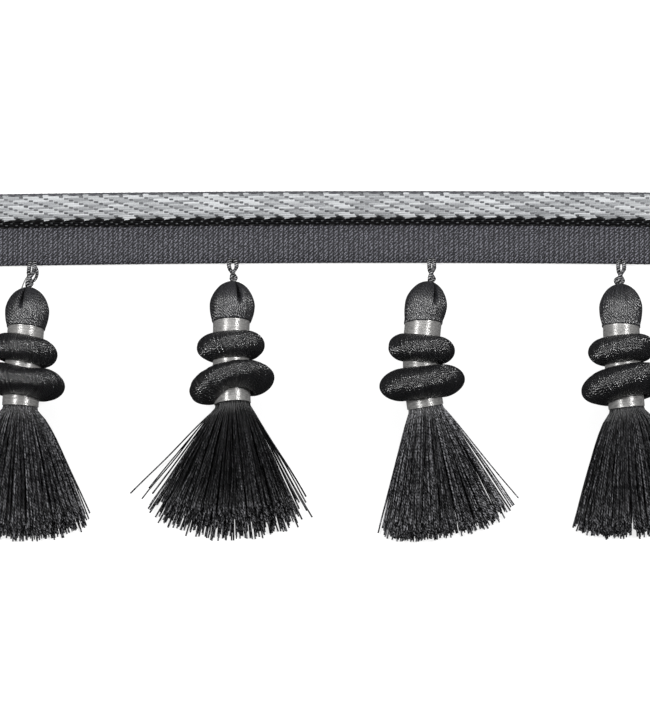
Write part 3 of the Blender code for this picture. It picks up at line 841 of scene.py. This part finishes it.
def put_hanger(prefix, axis, tassel, finish):
    """Twist two plies about a curve from the tape's front to the head's top.

    The curve is a Bezier through the tape's edge. The plies stand apart at the eye, close up
    below it and turn round each other. Each ply's radius has two ridges on a fast helix.
    """
    head_top, _, _, forward = axis.at(0.0)
    end = head_top - forward * HANGER_GAP
    bow = tape_bow(tassel["hang_x"])
    route = [
        (tassel["hang_x"], HANGER_START_Y + bow, HANGER_LIFT),
        (tassel["hang_x"], HANGER_EDGE_Y + bow, HANGER_LIFT),
        end - forward * HANGER_ENTRY,
        end,
    ]
    share, middle, side, up = curve_frame(route, HANGER_STATIONS)
    eye = np.exp(-((share - HANGER_EYE_AT) / HANGER_EYE_LENGTH) ** 2)
    spread = HANGER_SHAFT_SPREAD + (tassel["eye"] - HANGER_SHAFT_SPREAD) * eye
    start = HANGER_EYE_AT + 0.5 * HANGER_EYE_LENGTH
    twist = np.clip((share - start) / (1.0 - start), 0.0, 1.0) * HANGER_TURNS * 2.0 * math.pi
    ply = np.array([0.0, math.pi])[:, None]
    out = (np.cos(twist + ply)[..., None] * side + np.sin(twist + ply)[..., None] * up)
    centres = middle + spread[:, None] * out
    steps = np.linalg.norm(np.diff(middle, axis=0), axis=1)
    along = np.concatenate([[0.0], np.cumsum(steps)])
    angle = np.arange(HANGER_SIDES) * 2.0 * math.pi / HANGER_SIDES
    ridge = np.abs(np.sin(angle[None, :] - 2.0 * math.pi * along[:, None] / HANGER_LAY))
    radius = HANGER_PLY * (1.0 - HANGER_RIDGE + HANGER_RIDGE * ridge)
    points = (centres[:, :, None, :]
              + radius[None, :, :, None] * (np.cos(angle)[:, None] * side[:, None, :]
                                            + np.sin(angle)[:, None] * up[:, None, :]))
    quads = grid_quads(HANGER_STATIONS, HANGER_SIDES, closed_columns=True)
    first = HANGER_STATIONS * HANGER_SIDES
    ring = np.arange(HANGER_SIDES)
    walls = np.concatenate([quads, quads + first])
    caps = np.stack([ring[::-1], first - HANGER_SIDES + ring,
                     first + ring[::-1], 2 * first - HANGER_SIDES + ring])
    around = ring / HANGER_SIDES
    _, wall_uvs = thread_uvs(around[None, :], along[:, None], 1.0 / HANGER_SIDES)
    cap_uvs = np.zeros((4, HANGER_SIDES, 2))
    return put_mesh(prefix + "twisted_hanger", points, [walls, caps],
                    [np.concatenate([wall_uvs, wall_uvs]), cap_uvs], finish,
                    prefix + "hanger")


def put_loose_end(name, radius, route, finish):
    """Carry a circle along a Bezier curve beside a hanger."""
    _, middle, side, up = curve_frame(route, LOOSE_STATIONS)
    return put_tubes(name, middle[None], radius * side[None], radius * up[None], LOOSE_SIDES,
                     finish, None)


def woven_tape_material():
    """Woven polyester tape: a grey ground of fine slanted picks, dark under the bands.

    UV is millimetres along the tape and below its upper edge.
    """
    made, tree, shader = start_material("woven polyester ground")
    uv = add_node(tree, "ShaderNodeUVMap", uv_map="threads")
    place = add_node(tree, "ShaderNodeSeparateXYZ", {0: uv})
    # A rib of warps is 1.5 mm wide, and each pick rises over it as a stroke on a slant.
    # Real picks are finer than a picture can show, so they are drawn coarser, 1.15 mm apart.
    column = add_node(tree, "ShaderNodeMath", {0: place.outputs["X"], 1: REPEAT / 4.0},
                      operation="DIVIDE")
    column_number = add_node(tree, "ShaderNodeMath", {0: column}, operation="FLOOR")
    rib = add_node(tree, "ShaderNodeMapRange",
                   {"Value": distance_from_half(tree, column), "From Min": 0.48,
                    "From Max": 0.22})
    slant = add_node(tree, "ShaderNodeMath",
                     {0: place.outputs["X"], 1: PICK_SLOPE / PICK_PITCH}, operation="MULTIPLY")
    row = add_node(tree, "ShaderNodeMath", {0: place.outputs["Y"], 1: 1.0 / PICK_PITCH, 2: slant},
                   operation="MULTIPLY_ADD")
    chance = add_node(tree, "ShaderNodeTexWhiteNoise", {"W": column_number},
                      noise_dimensions="1D")
    shifted = add_node(tree, "ShaderNodeMath", {0: chance, 1: row}, operation="ADD")
    waver = add_node(tree, "ShaderNodeTexNoise", {"Vector": uv, "Scale": 1.6, "Detail": 2.0})
    shifted = add_node(tree, "ShaderNodeMath", {0: waver, 1: 1.3, 2: shifted},
                       operation="MULTIPLY_ADD")
    speck = add_node(tree, "ShaderNodeMapRange",
                     {"Value": distance_from_half(tree, shifted), "From Min": 0.4,
                      "From Max": 0.1},
                     interpolation_type="SMOOTHSTEP")
    speck = add_node(tree, "ShaderNodeMath", {0: speck, 1: rib}, operation="MULTIPLY")
    grain = add_node(tree, "ShaderNodeTexNoise", {"Vector": uv, "Scale": 3.2, "Detail": 2.0})
    mottle = add_node(tree, "ShaderNodeMapRange",
                      {"Value": grain, "From Min": 0.42, "From Max": 0.62, "To Max": 1.7})
    light = add_node(tree, "ShaderNodeMath", {0: speck, 1: mottle}, operation="MULTIPLY")
    ground = add_node(tree, "ShaderNodeMix",
                      {0: light, 6: hex_to_linear("#141418"), 7: hex_to_linear("#74747c")},
                      data_type="RGBA")
    # The border with the black row rises and falls by 0.25 mm in half a repeat
    wave = add_node(tree, "ShaderNodeMath",
                    {0: place.outputs["X"], 1: -REPEAT_START + 0.08 * REPEAT}, operation="ADD")
    wave = add_node(tree, "ShaderNodeMath", {0: wave, 1: 4.0 * math.pi / REPEAT},
                    operation="MULTIPLY")
    wave = add_node(tree, "ShaderNodeMath", {0: wave}, operation="COSINE")
    border = add_node(tree, "ShaderNodeMath", {0: wave, 1: 0.25, 2: place.outputs["Y"]},
                      operation="MULTIPLY_ADD")
    colour = hex_to_linear("#404044")
    for start, beyond in ((SILVER_GROUND_FROM, hex_to_linear("#5e6062")),
                          (BLACK_GROUND_FROM, hex_to_linear("#060608"))):
        past = add_node(tree, "ShaderNodeMath", {0: border, 1: start}, operation="GREATER_THAN")
        colour = add_node(tree, "ShaderNodeMix", {0: past, 6: colour, 7: beyond},
                          data_type="RGBA").outputs[2]
    past = add_node(tree, "ShaderNodeMath", {0: border, 1: GREY_GROUND_FROM},
                    operation="GREATER_THAN")
    finish_shader(tree, shader, past, colour, ground.outputs[2], speck, 0.12, 0.8,
                  {"Roughness": 0.7, "Specular IOR Level": 0.3})
    return made


def float_material(name, dark, bright, roughness, specular):
    """Lustrous float yarn: slack filaments that catch the light as one soft streak, painted into the
    colour as a lighter noise streak over a random tone for each float.
    """
    made, tree, shader = start_material(name)
    uv = add_node(tree, "ShaderNodeUVMap", uv_map="threads")
    place = add_node(tree, "ShaderNodeMapping", {0: uv, "Scale": (6.0, 2.5, 1.0)})
    streak = add_node(tree, "ShaderNodeTexNoise", {"Vector": place, "Scale": 1.0, "Detail": 2.0})
    tone = add_node(tree, "ShaderNodeAttribute", attribute_name="tone")
    both = add_node(tree, "ShaderNodeMath", {0: tone.outputs["Fac"], 1: streak},
                    operation="ADD")
    # Painted sheen: the noise streak lightens the colour, together with the float's random tone
    share = add_node(tree, "ShaderNodeMapRange",
                     {"Value": both, "From Min": 0.5, "From Max": 1.5})
    finish_shader(tree, shader, share, hex_to_linear(dark), hex_to_linear(bright), streak, 0.05,
                  0.4, {"Roughness": roughness, "Specular IOR Level": specular})
    return made


def twisted_thread_material(name, dark, bright, roughness, specular, turn_length, relief,
                            speck_from=1.0, ply_share=1.0, grain_scale=(1.1, 2.2)):
    """Two-ply viscose: a near-black lustrous thread that glints in specks where its twist turns; the
    glints are partly painted, as the crests of its twist get a lighter base colour as well as a
    lower roughness.

    UV is the share across a thread, and millimetres along it. One ply crosses the thread
    in turn_length millimetres. The tone attribute says how bright a thread is: it scales the painted
    glint colour and the gloss of the crests.
    """
    made, tree, shader = start_material(name)
    uv = add_node(tree, "ShaderNodeUVMap", uv_map="threads")
    place = add_node(tree, "ShaderNodeMapping",
                     {0: uv, "Scale": (WAVE_UNIT, WAVE_UNIT / turn_length, 1.0)})
    ply = add_node(tree, "ShaderNodeTexWave",
                   {"Vector": place, "Scale": 1.0, "Distortion": 1.2, "Detail": 2.0,
                    "Detail Scale": 2.0},
                   wave_type="BANDS", bands_direction="DIAGONAL", wave_profile="SIN")
    # Filaments are finer than a picture can show, so they are drawn coarser, as specks of
    # 0.6 to 1.3 mm
    grain_place = add_node(tree, "ShaderNodeMapping", {0: uv, "Scale": (*grain_scale, 1.0)})
    grain = add_node(tree, "ShaderNodeTexNoise",
                     {"Vector": grain_place, "Scale": 1.0, "Detail": 1.0, "Roughness": 0.6})
    turned = add_node(tree, "ShaderNodeMath", {0: ply.outputs["Fac"], 1: ply_share},
                      operation="MULTIPLY")
    height = add_node(tree, "ShaderNodeMath", {0: grain, 1: 1.6, 2: turned},
                      operation="MULTIPLY_ADD")
    tone = add_node(tree, "ShaderNodeAttribute", attribute_name="tone")
    glint_peak = add_node(tree, "ShaderNodeMapRange",
                    {"Value": height, "From Min": speck_from, "From Max": speck_from + 0.6},
                    interpolation_type="SMOOTHSTEP")
    # Painted glint: on the twist crests the base colour turns from the dark to the bright colour,
    # scaled by the thread's tone
    share = add_node(tree, "ShaderNodeMath", {0: glint_peak, 1: tone.outputs["Fac"]},
                     operation="MULTIPLY")
    # A twist valley scatters the light, and the back of a bright thread's ply mirrors it
    dull = add_node(tree, "ShaderNodeMapRange",
                    {"Value": share, "To Min": 0.42, "To Max": roughness})
    tree.links.new(dull.outputs[0], shader.inputs["Roughness"])
    finish_shader(tree, shader, share, hex_to_linear(dark), hex_to_linear(bright), height,
                  relief, 1.0, {"Specular IOR Level": specular})
    return made


def silver_winding_material():
    """Metallised binding thread: flat silver film wrapped on a white core, bright but uneven.

    UV is millimetres round the neck, and along it.
    """
    made, tree, shader = start_material("metallised binding thread")
    uv = add_node(tree, "ShaderNodeUVMap", uv_map="threads")
    place = add_node(tree, "ShaderNodeMapping", {0: uv, "Scale": (0.7, 3.3, 1.0)})
    streak = add_node(tree, "ShaderNodeTexNoise", {"Vector": place, "Scale": 1.0, "Detail": 2.0})
    share = add_node(tree, "ShaderNodeMapRange",
                     {"Value": streak, "From Min": 0.3, "From Max": 0.7})
    finish_shader(tree, shader, share, hex_to_linear("#7c7b7a"), hex_to_linear("#b3b2b0"),
                  streak, 0.02, 1.0, {"Roughness": 0.28, "Metallic": 0.5})
    return made


def speckled_cord_material():
    """Black cord with a silver strand in it: the silver shows as a speck in each short turn.

    UV is the share of a turn round the cord, and millimetres along it.
    """
    made, tree, shader = start_material("black cord with a silver strand")
    uv = add_node(tree, "ShaderNodeUVMap", uv_map="threads")
    place = add_node(tree, "ShaderNodeMapping",
                     {0: uv, "Scale": (-2.0 * WAVE_UNIT, WAVE_UNIT / 0.75, 1.0)})
    turn = add_node(tree, "ShaderNodeTexWave",
                    {"Vector": place, "Scale": 1.0, "Distortion": 4.0, "Detail": 2.0,
                     "Detail Scale": 1.5},
                    wave_type="BANDS", bands_direction="DIAGONAL", wave_profile="SIN")
    silver = add_node(tree, "ShaderNodeMapRange",
                      {"Value": turn.outputs["Fac"], "From Min": 0.72, "From Max": 0.92},
                      interpolation_type="SMOOTHSTEP")
    finish_shader(tree, shader, silver, hex_to_linear("#070708"), hex_to_linear("#9a9a9c"),
                  turn.outputs["Fac"], 0.08, 1.0, {"Metallic": 0.3, "Roughness": 0.4})
    return made


def put_table():
    """Lay a lit white acrylic table under the trim."""
    made, tree, shader = start_material("lit white acrylic")
    shader.inputs["Base Color"].default_value = (0.3, 0.3, 0.3, 1.0)
    shader.inputs["Roughness"].default_value = 0.9
    shader.inputs["Specular IOR Level"].default_value = 0.0
    shader.inputs["Emission Color"].default_value = (1.0, 1.0, 1.0, 1.0)
    shader.inputs["Emission Strength"].default_value = 0.8
    half = 8.0
    mesh = bpy.data.meshes.new("table")
    mesh.from_pydata([(-half, -half, -0.0002), (half, -half, -0.0002),
                      (half, half, -0.0002), (-half, half, -0.0002)], [], [(0, 1, 2, 3)])
    mesh.materials.append(made)
    table = bpy.data.objects.new("table", mesh)
    bpy.context.scene.collection.objects.link(table)
    table.visible_glossy = False


def put_light(name, azimuth, elevation, distance, size, power):
    """Hang a soft square light that faces the middle of the trim. Azimuth 90 is over the tape."""
    light = bpy.data.lights.new(name, "AREA")
    light.shape = "RECTANGLE"
    light.size = size[0]
    light.size_y = size[1]
    light.energy = power
    lamp = bpy.data.objects.new(name, light)
    turn = math.radians(azimuth)
    climb = math.radians(elevation)
    direction = np.array([math.cos(turn) * math.cos(climb), math.sin(turn) * math.cos(climb),
                          math.sin(climb)])
    centre = np.array([0.0, -0.04, 0.0])
    lamp.location = centre + direction * distance
    lamp.rotation_euler = (0.5 * math.pi - climb, 0.0, turn + 0.5 * math.pi)
    lamp.visible_camera = False
    bpy.context.scene.collection.objects.link(lamp)


def put_lights():
    """Light the trim softly from two boxes beyond the tape and a wide box between them."""
    put_light("box above the tape, left", 154.0, 50.0, 1.6, (0.4, 0.5), 21.0)
    put_light("box above the tape, right", 26.0, 50.0, 1.6, (0.4, 0.5), 21.0)
    put_light("wide box beyond the tape", 90.0, 42.0, 1.6, (1.0, 0.9), 7.0)
    world = bpy.data.worlds.new("studio")
    world.use_nodes = True
    background = world.node_tree.nodes["Background"]
    background.inputs["Color"].default_value = (0.05, 0.05, 0.0515, 1.0)
    bpy.context.scene.world = world


def put_camera():
    """Stand a long lens straight above the middle of the photograph."""
    data = bpy.data.cameras.new("camera")
    data.sensor_width = SENSOR
    data.lens = SENSOR * CAMERA_DISTANCE / (PICTURE_HEIGHT * PIXEL)
    data.clip_start = 0.1
    data.clip_end = 20.0
    camera = bpy.data.objects.new("camera", data)
    camera.location = (PICTURE_MIDDLE[0] * MM, PICTURE_MIDDLE[1] * MM, CAMERA_DISTANCE * MM)
    bpy.context.scene.collection.objects.link(camera)
    bpy.context.scene.camera = camera


def put_tape_pieces(random):
    """Weave the tape: its body, the two bands of floats, and their silver and grey ties."""
    silver = float_material("silver float yarn", "#7a7c7e", "#bcbec0", 0.45, 0.5)
    black = float_material("black float yarn", "#020203", "#070709", 0.5, 0.08)
    tie = float_material("dull silver tie yarn", "#3c3e40", "#6e7072", 0.5, 0.3)
    grey = float_material("grey tie yarn", "#4c4d4f", "#737476", 0.6, 0.2)
    cloth = put_tape(woven_tape_material())
    bands = [put_silver_band(silver, random), put_black_band(black, random),
             put_silver_dots(tie, random), put_grey_ties(grey, random)]


def put_tassels(random):
    """Make each tassel's hanger, head, neck, rings and skirt."""
    # The bright colour of each viscose yarn is a painted glint on its twist crests
    skirt_yarn = twisted_thread_material(
        "cut viscose yarn", "#030304", "#a4a4a8", 0.24, 0.6, 1.0, 0.05, speck_from=0.75,
        ply_share=0.3, grain_scale=(1.6, 0.75))
    head_yarn = twisted_thread_material(
        "laid viscose yarn", "#040405", "#343438", 0.18, 1.0, 0.9, 0.08, speck_from=1.1,
        grain_scale=(1.2, 1.5))
    ring_thread = twisted_thread_material(
        "wound viscose thread", "#020203", "#18181a", 0.2, 1.0, 0.9, 0.115, speck_from=0.7,
        grain_scale=(1.2, 1.1))
    silver = silver_winding_material()
    cord = speckled_cord_material()
    for number, tassel in enumerate(named_rows(TASSEL_COLUMNS, TASSELS), start=1):
        prefix = f"tassel_{number}_"
        axis = Axis(tassel)
        put_hanger(prefix, axis, tassel, cord)
        put_head(prefix, axis, tassel, head_yarn, random)
        put_binding(prefix, axis, silver, random)
        for ring in named_rows(RING_COLUMNS, RINGS):
            put_ring(prefix, ring, axis, tassel, ring_thread, random)
        put_skirt(prefix, axis, tassel, skirt_yarn, random)
    for name, radius, slot, route in LOOSE_ENDS:
        put_loose_end(name, radius, route, silver if slot == "silver_thread" else cord)


def main():
    """Dress the frame, and set the table, the lights and the camera."""
    random = np.random.default_rng(SEED)
    put_tape_pieces(random)
    put_tassels(random)
    put_table()
    put_lights()
    put_camera()
    bpy.context.scene.view_settings.view_transform = "Standard"


main()
